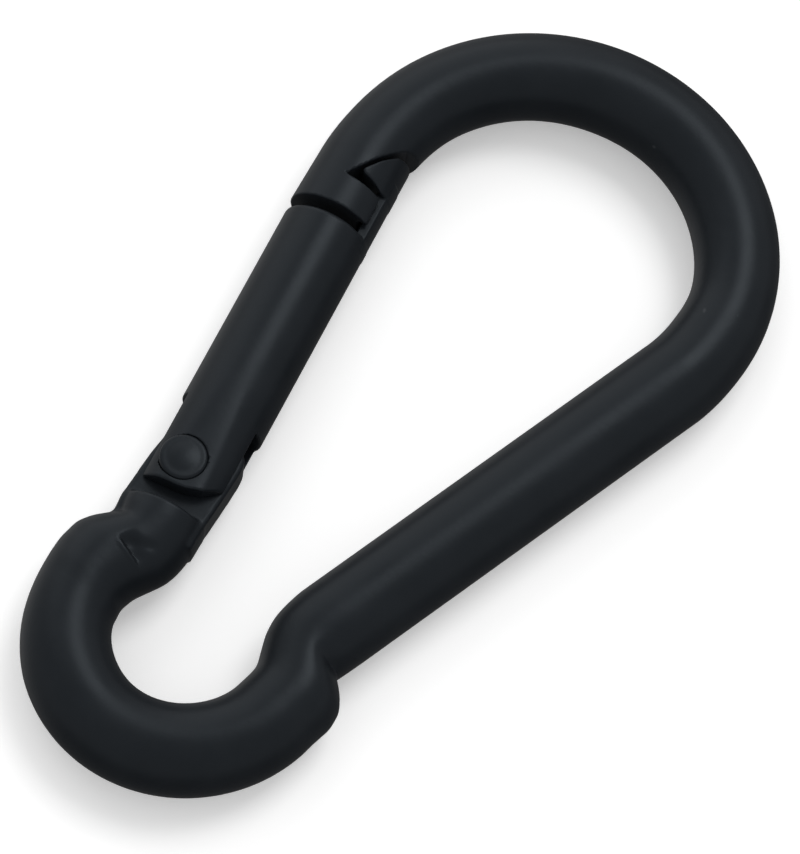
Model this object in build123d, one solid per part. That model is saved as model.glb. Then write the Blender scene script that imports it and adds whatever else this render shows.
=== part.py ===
"""Carabiner keyring: a pear-shaped spring snap hook with an eye, in millimetres.

A round steel bar is bent into the hook. The spine runs from the big bend down to the eye,
and the short end of the bar comes back out of the eye as a stem with a flat tang. The gate
turns on a rivet through that tang, and its T-shaped catch locks into the notched nose.
A plunger in the blind bore of the gate is pushed onto the tang's cam by a coil spring.

Construction frame: eye centre at the origin, +Y along the hook to the big bend,
+X to the spine, z = 0 at mid-thickness. place() moves a finished piece to the part frame:
lying flat, +Z up, origin at the bottom centre of the hook.
"""

import math
import os

from build123d import *

os.makedirs("parts", exist_ok=True)

# ---- bar -------------------------------------------------------------------------------
BAR_R = 2.875  # radius of the round bar
BENT_R = 2.86  # most that is left of it across the thickness, once bent
BEND_R = 12.57  # centreline radius of the big bend
BEND_C = (0.0, 34.47)  # centre of the big bend
CORNER_R = 11.5  # centreline radius where the bend turns into the spine
CORNER_FROM = 48.15  # degrees, big bend to corner
SPINE_FROM = -12.162  # degrees, corner to spine
SPINE_END_Y = 6.0
# The bar's inner and outer half-widths along its length, changed a little by the bending.
NOSE_END_W = (2.87, 3.02)
NOSE_W = (2.86, 2.82)
BEND_W = [(180, 2.88, 2.72), (160, 2.81, 2.76), (135, 2.82, 2.79), (110, 2.86, 2.79), (85, 2.79, 2.79)]
BEND_END_W = (2.71, 2.77)
CORNER_W = [(25, 2.63, 2.73), (6, 2.84, 2.72)]
SPINE_TOP_W = (2.91, 2.84)
SPINE_END_W = (2.80, 2.93)

# ---- eye -------------------------------------------------------------------------------
EYE_R = 7.32  # centreline radius of the eye
EYE_START = 195.0  # degrees, left end of the plain arc of the eye
EYE_RIGHT_W = (2.78, 2.96)
EYE_W = [(-45, 2.88, 2.86), (-90, 2.80, 2.90), (-120, 2.86, 2.84), (-140, 2.87, 2.68)]
EYE_LEFT_W = (2.98, 2.50)

# The fold where the eye runs into the stem: a sharp crease over a shallow sloping recess.
FOLD_START = (-6.91, 1.59, 2.83)  # bottom of the crease, at the crest of the bar
FOLD_DIR = (0.971, -0.238, -0.44)  # it runs down the inner flank
FOLD_LEN = 3.0
FOLD_W = 1.1

# ---- gate line -------------------------------------------------------------------------
GATE_TILT = 13.655  # degrees between the gate and the long axis
TANG_THICK = 2.6
SHOULDER_S = 6.65  # shoulder of the stem, along the gate line
PIVOT_S = 9.64
PIVOT_Q = -0.60  # pivot offset to the outside
RIVET_D = 1.70
RIVET_HEAD_D = 3.0
RIVET_SEAT_Z = 2.05
RIVET_RIM_Z = 2.60
RIVET_TOP_Z = 2.84
TANG_BORE_D = 1.80

# ---- gate ------------------------------------------------------------------------------
EAR_S = 7.80  # lower end of the ears
EAR_FLAT_Z = 2.60  # flats around the rivet heads
EAR_FLAT_TOP_S = 9.0  # from here the flats ramp up to the round bar
EAR_RAMP_TOP_S = 13.8
SLOT_W = 2.8
SLOT_TOP_IN = 13.5  # slot end on the inner side
SLOT_TOP_OUT = 14.1  # slot end on the outer side
GATE_TOP_S = 28.75
EDGE_R = 0.35
SPRING_BORE_D = 2.8
SPRING_BORE_END = 24.5

# ---- nose and catch --------------------------------------------------------------------
NOSE_S = 29.45  # lower end of the nose
NOSE_EDGE_R = 0.10
NOTCH_S = 31.62  # shelf the catch hooks over
NECK_W = 2.6
LIP_SLOT_W = 3.1
NECK_Q = 1.9  # outer side of the catch's neck
LIP_SLOT_Q = 1.7

# ---- plunger, spring and cam -----------------------------------------------------------
PLUNGER_D = 2.6
PLUNGER_S = 13.59  # centre of its round nose, gate shut
PLUNGER_LEN = 3.3
CAM_LIFT = 1.70  # plunger travel per radian of gate swing
CAM_GAP = 0.03
CAM_SWING = 0.73  # radians that the cam covers, a little past the gate's swing
SPRING_OD = 2.45
SPRING_WIRE = 0.38
SPRING_TURNS = 8.5


def rad(degrees):
    return math.radians(degrees)


# The gate line is tangent to the big bend.
_along = (-math.sin(rad(GATE_TILT)), math.cos(rad(GATE_TILT)))
_inward = (math.cos(rad(GATE_TILT)), math.sin(rad(GATE_TILT)))
_foot_s = -(BEND_C[0] * _along[0] + BEND_C[1] * _along[1])
GATE_FOOT = (
    BEND_C[0] - BEND_R * _inward[0] + _foot_s * _along[0],
    BEND_C[1] - BEND_R * _inward[1] + _foot_s * _along[1],
)
NOSE_TANGENT_S = -_foot_s
CORNER_C = (
    BEND_C[0] + (BEND_R - CORNER_R) * math.cos(rad(CORNER_FROM)),
    BEND_C[1] + (BEND_R - CORNER_R) * math.sin(rad(CORNER_FROM)),
)
# Local x is q, to the inside of the hook; local y is s, along the gate; local z is z.
GATE = Plane(origin=(*GATE_FOOT, 0), x_dir=(*_inward, 0), z_dir=(0, 0, 1))


def on_gate(q, s):
    """A point of the gate line's frame in the construction frame."""
    return (
        GATE_FOOT[0] + s * _along[0] + q * _inward[0],
        GATE_FOOT[1] + s * _along[1] + q * _inward[1],
    )


def section(inner, outer, half_height):
    """An elliptic cross-section of the bar between an inner and an outer silhouette point."""
    (ax, ay), (bx, by) = inner, outer
    half = math.dist(inner, outer) / 2
    out = ((bx - ax) / (2 * half), (by - ay) / (2 * half), 0)
    travel = (out[1], -out[0], 0)
    plane = Plane(origin=((ax + bx) / 2, (ay + by) / 2, 0), x_dir=out, z_dir=travel)
    return plane * Ellipse(half, half_height)


def arc_section(centre, radius, angle, inside, outside):
    c, s = math.cos(rad(angle)), math.sin(rad(angle))
    inner = (centre[0] + (radius - inside) * c, centre[1] + (radius - inside) * s)
    outer = (centre[0] + (radius + outside) * c, centre[1] + (radius + outside) * s)
    return section(inner, outer, min(BENT_R, (inside + outside) / 2))


def arc_bar(centre, radius, stops, step=9.0):
    """A bent bar: stops are (angle, inner half-width, outer half-width) along the arc."""
    rings = [arc_section(centre, radius, *stops[0])]
    for (a0, in0, out0), (a1, in1, out1) in zip(stops, stops[1:]):
        count = max(1, round(abs(a1 - a0) / step))
        for i in range(1, count + 1):
            t = i / count
            mix = t * t * (3 - 2 * t)
            ring = (a0 + t * (a1 - a0), in0 + mix * (in1 - in0), out0 + mix * (out1 - out0))
            rings.append(arc_section(centre, radius, *ring))
    return loft(rings)


def gate_bar(s0, s1, radius):
    """A round bar along the gate line, in the gate line's frame."""
    return Pos(0, s0, 0) * Rot(-90, 0, 0) * Cylinder(
        radius, s1 - s0, align=(Align.CENTER, Align.CENTER, Align.MIN)
    )


def gate_prism(points, half_width):
    """A prism through the thickness from (q, s) points, in the gate line's frame."""
    face = Face(Wire(Polyline(*points, close=True).edges()))
    return Pos(0, 0, -half_width) * extrude(face, 2 * half_width, dir=(0, 0, 1))


# ---- hook body -------------------------------------------------------------------------
nose_angle = 180 + GATE_TILT
nose = loft(
    [
        section(on_gate(NOSE_END_W[0], NOSE_S), on_gate(-NOSE_END_W[1], NOSE_S), BENT_R),
        section(on_gate(NOSE_W[0], NOSE_TANGENT_S), on_gate(-NOSE_W[1], NOSE_TANGENT_S), 2.84),
    ]
)
nose = fillet(nose.edges().group_by(Axis.Y)[0], NOSE_EDGE_R)
big_bend = arc_bar(
    BEND_C, BEND_R, [(nose_angle, *NOSE_W), *BEND_W, (CORNER_FROM, *BEND_END_W)]
)
corner = arc_bar(
    CORNER_C,
    CORNER_R,
    [(CORNER_FROM, *BEND_END_W), *CORNER_W, (SPINE_FROM, *SPINE_TOP_W)],
)

spine_dir = (-math.sin(rad(-SPINE_FROM)), -math.cos(rad(-SPINE_FROM)))
spine_out = (math.cos(rad(SPINE_FROM)), math.sin(rad(SPINE_FROM)))
spine_top = (
    CORNER_C[0] + CORNER_R * spine_out[0],
    CORNER_C[1] + CORNER_R * spine_out[1],
)
spine_run = (spine_top[1] - SPINE_END_Y) / -spine_dir[1]
spine_end = (spine_top[0] + spine_run * spine_dir[0], SPINE_END_Y)


def spine_ring(centre, inside, outside):
    inner = (centre[0] - inside * spine_out[0], centre[1] - inside * spine_out[1])
    outer = (centre[0] + outside * spine_out[0], centre[1] + outside * spine_out[1])
    return section(inner, outer, min(BENT_R, (inside + outside) / 2))


spine = loft([spine_ring(spine_top, *SPINE_TOP_W), spine_ring(spine_end, *SPINE_END_W)])

# The bar kinks outwards into the eye. The kink has a crease on its outer side.
right_crease = section((3.38, 4.45), (8.78, 4.0), 2.66)
right_upper = loft([spine_ring(spine_end, *SPINE_END_W), right_crease])
right_lower = loft(
    [
        right_crease,
        section((3.62, 3.35), (9.66, 3.25), 2.70),
        section((4.10, 2.35), (10.20, 2.45), 2.80),
        section((4.60, 1.30), (10.42, 1.35), 2.83),
        arc_section((0, 0), EYE_R, 0, *EYE_RIGHT_W),
    ]
)
eye = arc_bar((0, 0), EYE_R, [(0, *EYE_RIGHT_W), *EYE_W, (EYE_START - 360, *EYE_LEFT_W)])
left_crease = section((-3.11, 3.65), (-8.50, 3.45), 2.68)
left_lower = loft(
    [
        arc_section((0, 0), EYE_R, EYE_START, *EYE_LEFT_W),
        section((-4.03, 0.05), (-9.93, -0.15), 2.80),
        section((-3.58, 1.10), (-9.86, 1.25), 2.80),
        section((-3.22, 2.00), (-9.42, 2.15), 2.76),
        section((-3.10, 2.85), (-8.84, 2.85), 2.70),
        left_crease,
    ]
)
stem_top = section(on_gate(2.42, SHOULDER_S), on_gate(-3.10, SHOULDER_S), 2.80)
left_upper = loft([left_crease, section((-3.19, 4.70), (-8.90, 4.30), 2.74), stem_top])


def fold(side):
    """A wedge laid along the crease on the front (1) or the back (-1) of the bar."""
    x, y, z = FOLD_START
    away = (-FOLD_DIR[1], FOLD_DIR[0])
    corners = [(0, 0), (FOLD_W, 0.3), (FOLD_W, 1.2), (0, 1.2)]
    points = [(x + u * away[0], y + u * away[1], side * (z + h)) for u, h in corners]
    face = Face(Wire(Polyline(*points, close=True).edges()))
    return extrude(face, FOLD_LEN, dir=(FOLD_DIR[0], FOLD_DIR[1], side * FOLD_DIR[2]))


def cam_point(theta):
    """Tang cam under the plunger's nose at this gate angle, as (q, s)."""
    ds = PLUNGER_S - PIVOT_S + CAM_LIFT * theta
    dq = -PIVOT_Q
    c, s = math.cos(theta), math.sin(theta)
    centre = (ds * c - dq * s, ds * s + dq * c)
    slope = (CAM_LIFT * c - centre[1], CAM_LIFT * s + centre[0])
    size = math.hypot(*slope)
    reach = PLUNGER_D / 2 + CAM_GAP
    return (
        PIVOT_Q + centre[1] + reach * slope[0] / size,
        PIVOT_S + centre[0] - reach * slope[1] / size,
    )


def seat_point(degrees):
    """The seat beside the nose of the plunger, measured from straight below its centre."""
    reach = PLUNGER_D / 2 + CAM_GAP
    return (-reach * math.sin(rad(degrees)), PLUNGER_S - reach * math.cos(rad(degrees)))


cam = [cam_point(CAM_SWING * i / 10) for i in range(11)]
# The tang leans a little across the gate line. Its top is cut back for the swinging slot.
tang_inner = [(2.30, 5.4), (2.34, 6.05), (2.49, 7.55), (2.62, 9.05), (2.73, 10.6), (2.72, 11.25)]
tang_inner += [(2.62, 11.7), (2.36, 12.06)]
tang_outer = [(-2.42, 11.9), (-2.55, 10.8), (-2.78, 9.45), (-2.93, 7.95), (-3.06, 6.45), (-3.05, 5.4)]
tang_outline = [
    Spline(*tang_inner),
    Line(tang_inner[-1], cam[-1]),
    Spline(*reversed(cam)),
    ThreePointArc(cam[0], seat_point(35), seat_point(62)),
    Line(seat_point(62), (-1.55, 13.30)),
    ThreePointArc((-1.55, 13.30), (-2.17, 12.85), tang_outer[0]),
    Spline(*tang_outer),
    Line(tang_outer[-1], tang_inner[0]),
]
tang_face = Face(Wire([edge for line in tang_outline for edge in line.edges()]))
tang = Pos(0, 0, -TANG_THICK / 2) * extrude(tang_face, TANG_THICK, dir=(0, 0, 1))
tang -= Pos(PIVOT_Q, PIVOT_S, 0) * Cylinder(TANG_BORE_D / 2, 10)
tang = GATE.location * tang

hook_body = nose + big_bend + corner + spine + right_upper + right_lower + eye + left_lower
hook_body = hook_body + left_upper + tang
hook_body -= fold(1)
hook_body -= fold(-1)

notch = [
    (3.4, NOTCH_S - 0.27),
    (-0.12, NOTCH_S),
    (-0.2, 31.70),
    (0.5, 32.75),
    (0.94, 33.45),
    (1.57, 34.3),
    (2.14, 35.0),
    (2.34, 35.2),
    (2.70, 35.42),
    (3.4, 35.7),
]
hook_body -= GATE.location * gate_prism(notch, 4)
lip_slot = [
    (LIP_SLOT_Q, NOSE_S - 1),
    (4, NOSE_S - 1),
    (4, NOTCH_S + 0.5),
    (LIP_SLOT_Q, NOTCH_S + 0.5),
]
hook_body -= GATE.location * gate_prism(lip_slot, LIP_SLOT_W / 2)

# ---- gate ------------------------------------------------------------------------------
gate = gate_bar(EAR_S, GATE_TOP_S, BAR_R)
gate = fillet(gate.edges().group_by(Axis.Y)[-1], EDGE_R)
head = gate_bar(GATE_TOP_S - 1, 36, BAR_R) & gate_prism(
    [
        (0.58, 32.34),
        (0.78, 32.19),
        (1.42, 32.06),
        (2.13, 31.80),
        (3.2, 31.75),
        (3.2, 34.95),
        (2.62, 34.72),
        (2.05, 34.52),
        (1.32, 33.62),
        (0.62, 32.56),
    ],
    4,
)
neck = gate_bar(GATE_TOP_S - 1, 33.0, BAR_R) & gate_prism(
    [(NECK_Q, GATE_TOP_S - 1), (3.2, GATE_TOP_S - 1), (3.2, 33.0), (NECK_Q, 33.0)], NECK_W / 2
)
gate = gate + neck + head
ear_end = [(-4, 7), (4, 7), (4, 9.6), (2.6, 9.08), (2.25, 8.86), (1.42, 8.19), (0.4, 7.86)]
ear_end += [(-0.2, EAR_S), (-4, EAR_S)]
gate -= gate_prism(ear_end, 4)
for side in (1, -1):
    flat_side = [
        (-4, EAR_S - 1, side * EAR_FLAT_Z),
        (-4, EAR_FLAT_TOP_S, side * EAR_FLAT_Z),
        (-4, EAR_RAMP_TOP_S, side * BAR_R),
        (-4, EAR_RAMP_TOP_S, side * 4),
        (-4, EAR_S - 1, side * 4),
    ]
    gate -= extrude(Face(Wire(Polyline(*flat_side, close=True).edges())), 8, dir=(1, 0, 0))
    gate -= Pos(PIVOT_Q, PIVOT_S, side * (RIVET_SEAT_Z + 1)) * Cylinder(RIVET_HEAD_D / 2, 2)
gate -= gate_prism([(-4, 7), (4, 7), (4, SLOT_TOP_IN - 0.14), (-4, SLOT_TOP_OUT + 0.14)], SLOT_W / 2)
gate -= Pos(PIVOT_Q, PIVOT_S, 0) * Cylinder(RIVET_D / 2, 10)
gate -= gate_bar(12.5, SPRING_BORE_END, SPRING_BORE_D / 2)
gate -= Pos(0, SPRING_BORE_END, 0) * Rot(-90, 0, 0) * Cone(
    SPRING_BORE_D / 2, 0.0, 0.8, align=(Align.CENTER, Align.CENTER, Align.MIN)
)
gate = GATE.location * gate

# ---- hinge rivet -----------------------------------------------------------------------
dome_rise = RIVET_TOP_Z - RIVET_RIM_Z
dome_r = ((RIVET_HEAD_D / 2) ** 2 + dome_rise**2) / (2 * dome_rise)
hinge_rivet = Cylinder(RIVET_D / 2, 2 * RIVET_SEAT_Z + 0.2)
for side in (1, -1):
    head_disc = Pos(0, 0, side * (RIVET_SEAT_Z + 0.5)) * Cylinder(RIVET_HEAD_D / 2, 1.0)
    head_disc &= Pos(0, 0, side * (RIVET_TOP_Z - dome_r)) * Sphere(dome_r)
    hinge_rivet += head_disc
hinge_rivet = GATE.location * (Pos(PIVOT_Q, PIVOT_S, 0) * hinge_rivet)

# ---- plunger and spring ----------------------------------------------------------------
plunger = gate_bar(PLUNGER_S, PLUNGER_S + PLUNGER_LEN, PLUNGER_D / 2)
plunger = chamfer(plunger.edges().group_by(Axis.Y)[-1], 0.2)
plunger = plunger + Pos(0, PLUNGER_S, 0) * Sphere(PLUNGER_D / 2)
plunger = GATE.location * plunger

spring_start = PLUNGER_S + PLUNGER_LEN + SPRING_WIRE / 2 + 0.01
spring_stop = SPRING_BORE_END - SPRING_WIRE / 2 - 0.01
coil_r = (SPRING_OD - SPRING_WIRE) / 2
helix = Helix(
    pitch=(spring_stop - spring_start) / SPRING_TURNS, height=spring_stop - spring_start, radius=coil_r
)
wire_section = Plane(origin=helix @ 0, z_dir=helix % 0) * Circle(SPRING_WIRE / 2)
gate_spring = sweep(wire_section, path=helix)
gate_spring = GATE.location * (Pos(0, spring_start, 0) * Rot(-90, 0, 0) * gate_spring)

# ---- part frame ------------------------------------------------------------------------
pieces = {
    "hook_body": hook_body,
    "gate": gate,
    "hinge_rivet": hinge_rivet,
    "gate_spring": gate_spring,
    "plunger": plunger,
}
low = hook_body.bounding_box()
gate_box = gate.bounding_box()
left = min(low.min.X, gate_box.min.X)
SHIFT = Pos(-(left + low.max.X) / 2, -(low.min.Y + low.max.Y) / 2, BAR_R)

for name, piece in pieces.items():
    placed = SHIFT * piece
    placed.label = name
    export_step(placed, f"parts/{name}.step")
    print(name, "solids", len(placed.solids()), "volume", round(placed.volume, 1))
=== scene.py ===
"""Looks of the carabiner keyring: a black-coated steel snap hook lying on a pale studio floor.

The bar, gate, rivet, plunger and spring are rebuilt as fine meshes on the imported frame. Lengths
are in millimetres in the hook's drawing frame (eye centre at the origin, +Y to the big bend),
and origin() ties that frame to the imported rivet. Each solid is a signed field: bars and cuts are
joined with rounded edges, and polygonise() turns the field into a quad mesh on a graded grid.
In the gate's own frame, q runs to the inside of the hook, s along the gate from its foot, and z up.
"""

import math

import bpy
import numpy as np
from mathutils import Matrix, Vector


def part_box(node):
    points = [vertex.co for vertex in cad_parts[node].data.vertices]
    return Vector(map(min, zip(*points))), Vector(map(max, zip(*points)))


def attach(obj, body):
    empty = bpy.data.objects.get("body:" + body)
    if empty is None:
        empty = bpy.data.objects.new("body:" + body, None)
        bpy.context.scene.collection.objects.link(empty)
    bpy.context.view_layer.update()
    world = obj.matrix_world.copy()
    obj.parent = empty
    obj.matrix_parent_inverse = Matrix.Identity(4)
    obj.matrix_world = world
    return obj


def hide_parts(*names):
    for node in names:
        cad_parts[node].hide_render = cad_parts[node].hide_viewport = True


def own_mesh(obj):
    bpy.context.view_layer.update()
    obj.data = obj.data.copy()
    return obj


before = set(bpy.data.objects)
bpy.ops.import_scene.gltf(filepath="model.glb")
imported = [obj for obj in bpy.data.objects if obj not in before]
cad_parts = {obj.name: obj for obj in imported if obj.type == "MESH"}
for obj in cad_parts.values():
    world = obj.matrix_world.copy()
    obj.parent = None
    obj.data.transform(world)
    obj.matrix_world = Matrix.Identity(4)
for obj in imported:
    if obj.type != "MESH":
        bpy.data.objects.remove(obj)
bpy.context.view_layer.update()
MM = 0.001
FAR = 4.0  # a field's value where its shape isn't worked out

# ---- dimensions, as in the CAD source ---------------------------------------------------
BAR_R = 2.875
BENT_R = 2.86
BEND_R = 12.57
BEND_C = (0.0, 34.47)
CORNER_R = 11.5
CORNER_FROM = 48.15
SPINE_FROM = -12.162
SPINE_END_Y = 6.0
BAR_OVERLAP = 1.5  # how far a straight length runs on into its neighbour
EYE_R = 7.32
EYE_START = -165.0
GATE_TILT = 13.655
SHOULDER_S = 6.65
TANG_HALF = 1.3
PIVOT_Q = -0.60
PIVOT_S = 9.64
RIVET_R = 0.85
HEAD_R = 1.5
SEAT_Z = 2.05
TANG_BORE_R = 0.90
EAR_S = 7.80
EAR_FLAT_Z = 2.60
EAR_FLAT_TOP_S = 9.0
EAR_RAMP_TOP_S = 13.8
SLOT_HALF = 1.4
SLOT_TOP_IN = 13.5
SLOT_TOP_OUT = 14.1
GATE_TOP_S = 28.75
EDGE_R = 0.35
BORE_R = 1.4
BORE_END = 24.5
NOSE_S = 29.45
NOSE_EDGE_R = 0.10
NOTCH_S = 31.62
NECK_HALF = 1.3
LIP_HALF = 1.55
NECK_Q = 1.9
LIP_SLOT_Q = 1.7
PLUNGER_R = 1.3
PLUNGER_S = 13.59
PLUNGER_LEN = 3.3
CAM_LIFT = 1.70
CAM_GAP = 0.03
CAM_SWING = 0.73
CAM_STEPS = 22
SPRING_OD = 2.45
SPRING_WIRE = 0.38
SPRING_TURNS = 8.5

tilt = math.radians(GATE_TILT)
G = np.array([-math.sin(tilt), math.cos(tilt)])  # along the gate
N = np.array([math.cos(tilt), math.sin(tilt)])  # to the inside of the hook
bend_c = np.array(BEND_C)
FOOT = bend_c - BEND_R * N - (bend_c @ G) * G
NOSE_TANGENT_S = float(bend_c @ G)
turn = math.radians(CORNER_FROM)
corner_c = bend_c + (BEND_R - CORNER_R) * np.array([math.cos(turn), math.sin(turn)])
SPINE_OUT = np.array([math.cos(math.radians(SPINE_FROM)), math.sin(math.radians(SPINE_FROM))])
SPINE_DIR = np.array([SPINE_OUT[1], -SPINE_OUT[0]])
spine_top = corner_c + CORNER_R * SPINE_OUT
spine_len = (spine_top[1] - SPINE_END_Y) / -SPINE_DIR[1] + BAR_OVERLAP
PIVOT = FOOT + PIVOT_S * G + PIVOT_Q * N


def origin():
    """Where the drawing frame's origin lies in the row frame, in millimetres."""
    low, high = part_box("hinge_rivet")
    centre = (low + high) / 2 / MM
    return np.array([centre.x - PIVOT[0], centre.y - PIVOT[1], centre.z])


ORIGIN = origin()


# ---- fields -----------------------------------------------------------------------------
def table(stops, t):
    """Smooth monotone interpolation of each column of stops against its first column."""
    stops = np.array(sorted(stops), float)
    ts, values = stops[:, 0], stops[:, 1:]
    gaps = np.diff(ts)
    slopes = np.diff(values, axis=0) / gaps[:, None]
    tangents = np.zeros_like(values)
    tangents[0], tangents[-1] = slopes[0], slopes[-1]
    for i in range(1, len(ts) - 1):
        a, b = slopes[i - 1], slopes[i]
        same = a * b > 0
        mean = 2 * a * b / np.where(same, a + b, 1)
        tangents[i] = np.where(same, mean, 0)
    t = np.clip(t, ts[0], ts[-1])
    k = np.clip(np.searchsorted(ts, t) - 1, 0, len(gaps) - 1)
    u = (t - ts[k]) / gaps[k]
    h00, h10 = (1 + 2 * u) * (1 - u) ** 2, u * (1 - u) ** 2
    h01, h11 = u * u * (3 - 2 * u), u * u * (u - 1)
    out = []
    for c in range(values.shape[1]):
        v, m = values[:, c], tangents[:, c]
        out.append(h00 * v[k] + h10 * gaps[k] * m[k] + h01 * v[k + 1] + h11 * gaps[k] * m[k + 1])
    return out


def even(stops, spread=0.3, pitch=0.02):
    """A curve near (y, value) points with its corners evened out; returns a function of y."""
    at, values = np.array(sorted(stops), float).T
    ys = np.arange(at[0] - 4 * spread, at[-1] + 4 * spread, pitch)
    line = np.interp(ys, at, values)
    line += np.minimum(ys - at[0], 0) * (values[1] - values[0]) / (at[1] - at[0])
    line += np.maximum(ys - at[-1], 0) * (values[-1] - values[-2]) / (at[-1] - at[-2])
    reach = int(3 * spread / pitch)
    kernel = np.exp(-0.5 * (np.arange(-reach, reach + 1) * pitch / spread) ** 2)
    line = np.convolve(np.pad(line, reach, "edge"), kernel / kernel.sum(), "valid")
    return lambda y: np.interp(y, ys, line)


def ease(low, high, t):
    """0 below low, 1 above high, smooth between."""
    t = np.clip((t - low) / (high - low), 0, 1)
    return t * t * t * (t * (6 * t - 15) + 10)


def blend_min(a, b, k):
    """Union with a fillet about k wide."""
    h = np.clip(0.5 + 0.5 * (b - a) / k, 0, 1)
    return b * (1 - h) + a * h - k * h * (1 - h)


def blend_max(a, b, k):
    """Intersection with its edge softened over about k."""
    return -blend_min(-a, -b, k)


def round_and(a, b, r):
    """Intersection with a rounded outer edge of radius r."""
    u, v = np.maximum(a + r, 0), np.maximum(b + r, 0)
    return np.minimum(np.maximum(a + r, b + r), 0) + np.hypot(u, v) - r


def round_cut(a, b, r):
    """a with b taken away, its new edge rounded by r."""
    return round_and(a, -b, r)


def in_box(x, y, box):
    """Which points lie inside a box (x0, x1, y0, y1)."""
    return (x > box[0]) & (x < box[1]) & (y > box[2]) & (y < box[3])


def within(x, y, z, box, shape, *args):
    """A field worked out only inside a box (x0, x1, y0, y1)."""
    out = np.full(x.shape, FAR)
    near = in_box(x, y, box)
    if near.any():
        out[near] = shape(x[near], y[near], z[near], *args)
    return out


def oval(d, z, w, h):
    """An elliptic bar of half-width w and half-height h, at distance d from its middle line."""
    return (np.hypot(d / w, z / h) - 1) * w


def bent(x, y, z, centre, radius, stops):
    """A bar along an arc; stops are (angle, inner half-width, outer half-width)."""
    low, high = stops[-1][0], stops[0][0]
    mid = (low + high) / 2
    a = np.degrees(np.arctan2(y - centre[1], x - centre[0]))
    a = np.clip((a - mid + 180) % 360 - 180 + mid, low, high)
    inside, outside = table(stops, a)
    a = np.radians(a)
    w = (inside + outside) / 2
    r = radius + (outside - inside) / 2
    d = np.hypot(x - centre[0] - r * np.cos(a), y - centre[1] - r * np.sin(a))
    return oval(d, z, w, np.minimum(w, BENT_R))


def straight(x, y, z, start, along, out, length, first, last):
    """A straight bar with (inner, outer) half-widths at its two ends."""
    t = np.clip((x - start[0]) * along[0] + (y - start[1]) * along[1], 0, length)
    mix = t / length
    inside = first[0] + mix * (last[0] - first[0])
    outside = first[1] + mix * (last[1] - first[1])
    w, shift = (inside + outside) / 2, (outside - inside) / 2
    dx = x - start[0] - along[0] * t - out[0] * shift
    dy = y - start[1] - along[1] * t - out[1] * shift
    return oval(np.hypot(dx, dy), z, w, np.minimum(w, BENT_R))


def polygon(u, v, points):
    """Signed distance to a closed polygon."""
    pts = np.array(points, float)
    best = np.full(u.shape, 1e9)
    inside = np.zeros(u.shape, bool)
    for (ax, ay), (bx, by) in zip(pts, np.roll(pts, -1, axis=0)):
        ex, ey = bx - ax, by - ay
        wx, wy = u - ax, v - ay
        t = np.clip((wx * ex + wy * ey) / (ex * ex + ey * ey), 0, 1)
        best = np.minimum(best, (wx - ex * t) ** 2 + (wy - ey * t) ** 2)
        crosses = (ay > v) != (by > v)
        at = ax + (v - ay) * ex / (ey if abs(ey) > 1e-12 else 1e-12)
        inside ^= crosses & (u < at)
    return np.where(inside, -1, 1) * np.sqrt(best)


def smooth_path(points, count):
    """A Catmull-Rom curve through the points."""
    p = np.array(points, float)
    p = np.vstack([2 * p[0] - p[1], p, 2 * p[-1] - p[-2]])
    out = []
    for i in range(1, len(p) - 2):
        for j in range(count):
            t = j / count
            a, b, c, d = p[i - 1], p[i], p[i + 1], p[i + 2]
            square, cube = 2 * a - 5 * b + 4 * c - d, 3 * b - a - 3 * c + d
            out.append(0.5 * (2 * b + (c - a) * t + square * t**2 + cube * t**3))
    out.append(p[-2])
    return [tuple(q) for q in out]


# ---- hook body --------------------------------------------------------------------------
NOSE_ANGLE = 180 + GATE_TILT
NOSE_END_W = (2.87, 3.02)
NOSE_W = (2.86, 2.82)
BEND = [(NOSE_ANGLE, 2.86, 2.82), (180, 2.88, 2.72), (160, 2.81, 2.76), (135, 2.82, 2.79)]
BEND += [(110, 2.86, 2.79), (85, 2.79, 2.79), (CORNER_FROM, 2.71, 2.77)]
CORNER = [(CORNER_FROM, 2.71, 2.77), (25, 2.63, 2.73), (6, 2.84, 2.72), (SPINE_FROM, 2.91, 2.84)]
EYE = [(0, 2.78, 2.96), (-45, 2.88, 2.86), (-90, 2.80, 2.90), (-120, 2.86, 2.84)]
EYE += [(-140, 2.87, 2.68), (EYE_START, 2.98, 2.50), (-180, 3.1, 2.56)]
# Kinks, as curves of y: silhouette x of the inner and the outer side, crest and half-thickness.
RIGHT_IN = [(-3, 3.35), (-1.2, 4.38), (0, 4.54), (1.3, 4.60), (2.35, 4.08), (3.35, 3.60)]
RIGHT_IN += [(4.45, 3.34), (5.4, 3.33), (6.59, 3.43), (8.0, 3.73), (9.5, 4.05)]
RIGHT_EYE = [(-3, 9.83), (-1.2, 10.21), (0, 10.28), (1.35, 10.44), (2.45, 10.22), (3.25, 9.60)]
RIGHT_EYE += [(4.0, 8.70), (4.6, 7.7), (8.0, 1.5)]
RIGHT_SPINE = [(-1.2, 7.4), (4.0, 8.70), (5.38, 9.03), (8.0, 9.595), (9.5, 9.92)]
RIGHT_CREST = [(-3, 6.78), (-1.2, 7.31), (0.1, 7.42), (1.3, 7.52), (2.1, 7.42), (2.8, 7.08)]
RIGHT_CREST += [(3.5, 6.60), (4.2, 6.22), (5.0, 6.05), (5.8, 6.18), (6.6, 6.36), (8, 6.66)]
RIGHT_CREST += [(9.5, 6.985)]
RIGHT_H = [(-3, 2.86), (-1.2, 2.86), (1.3, 2.84), (2.6, 2.80), (3.6, 2.74), (4.5, 2.74)]
RIGHT_H += [(5.6, 2.82), (6.8, 2.86), (9.5, 2.86)]
LEFT_IN = [(-4.2, -1.0), (-3.4, -2.7), (-2.6, -3.52), (-1.12, -4.19), (0.05, -4.05), (1.1, -3.58)]
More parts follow.
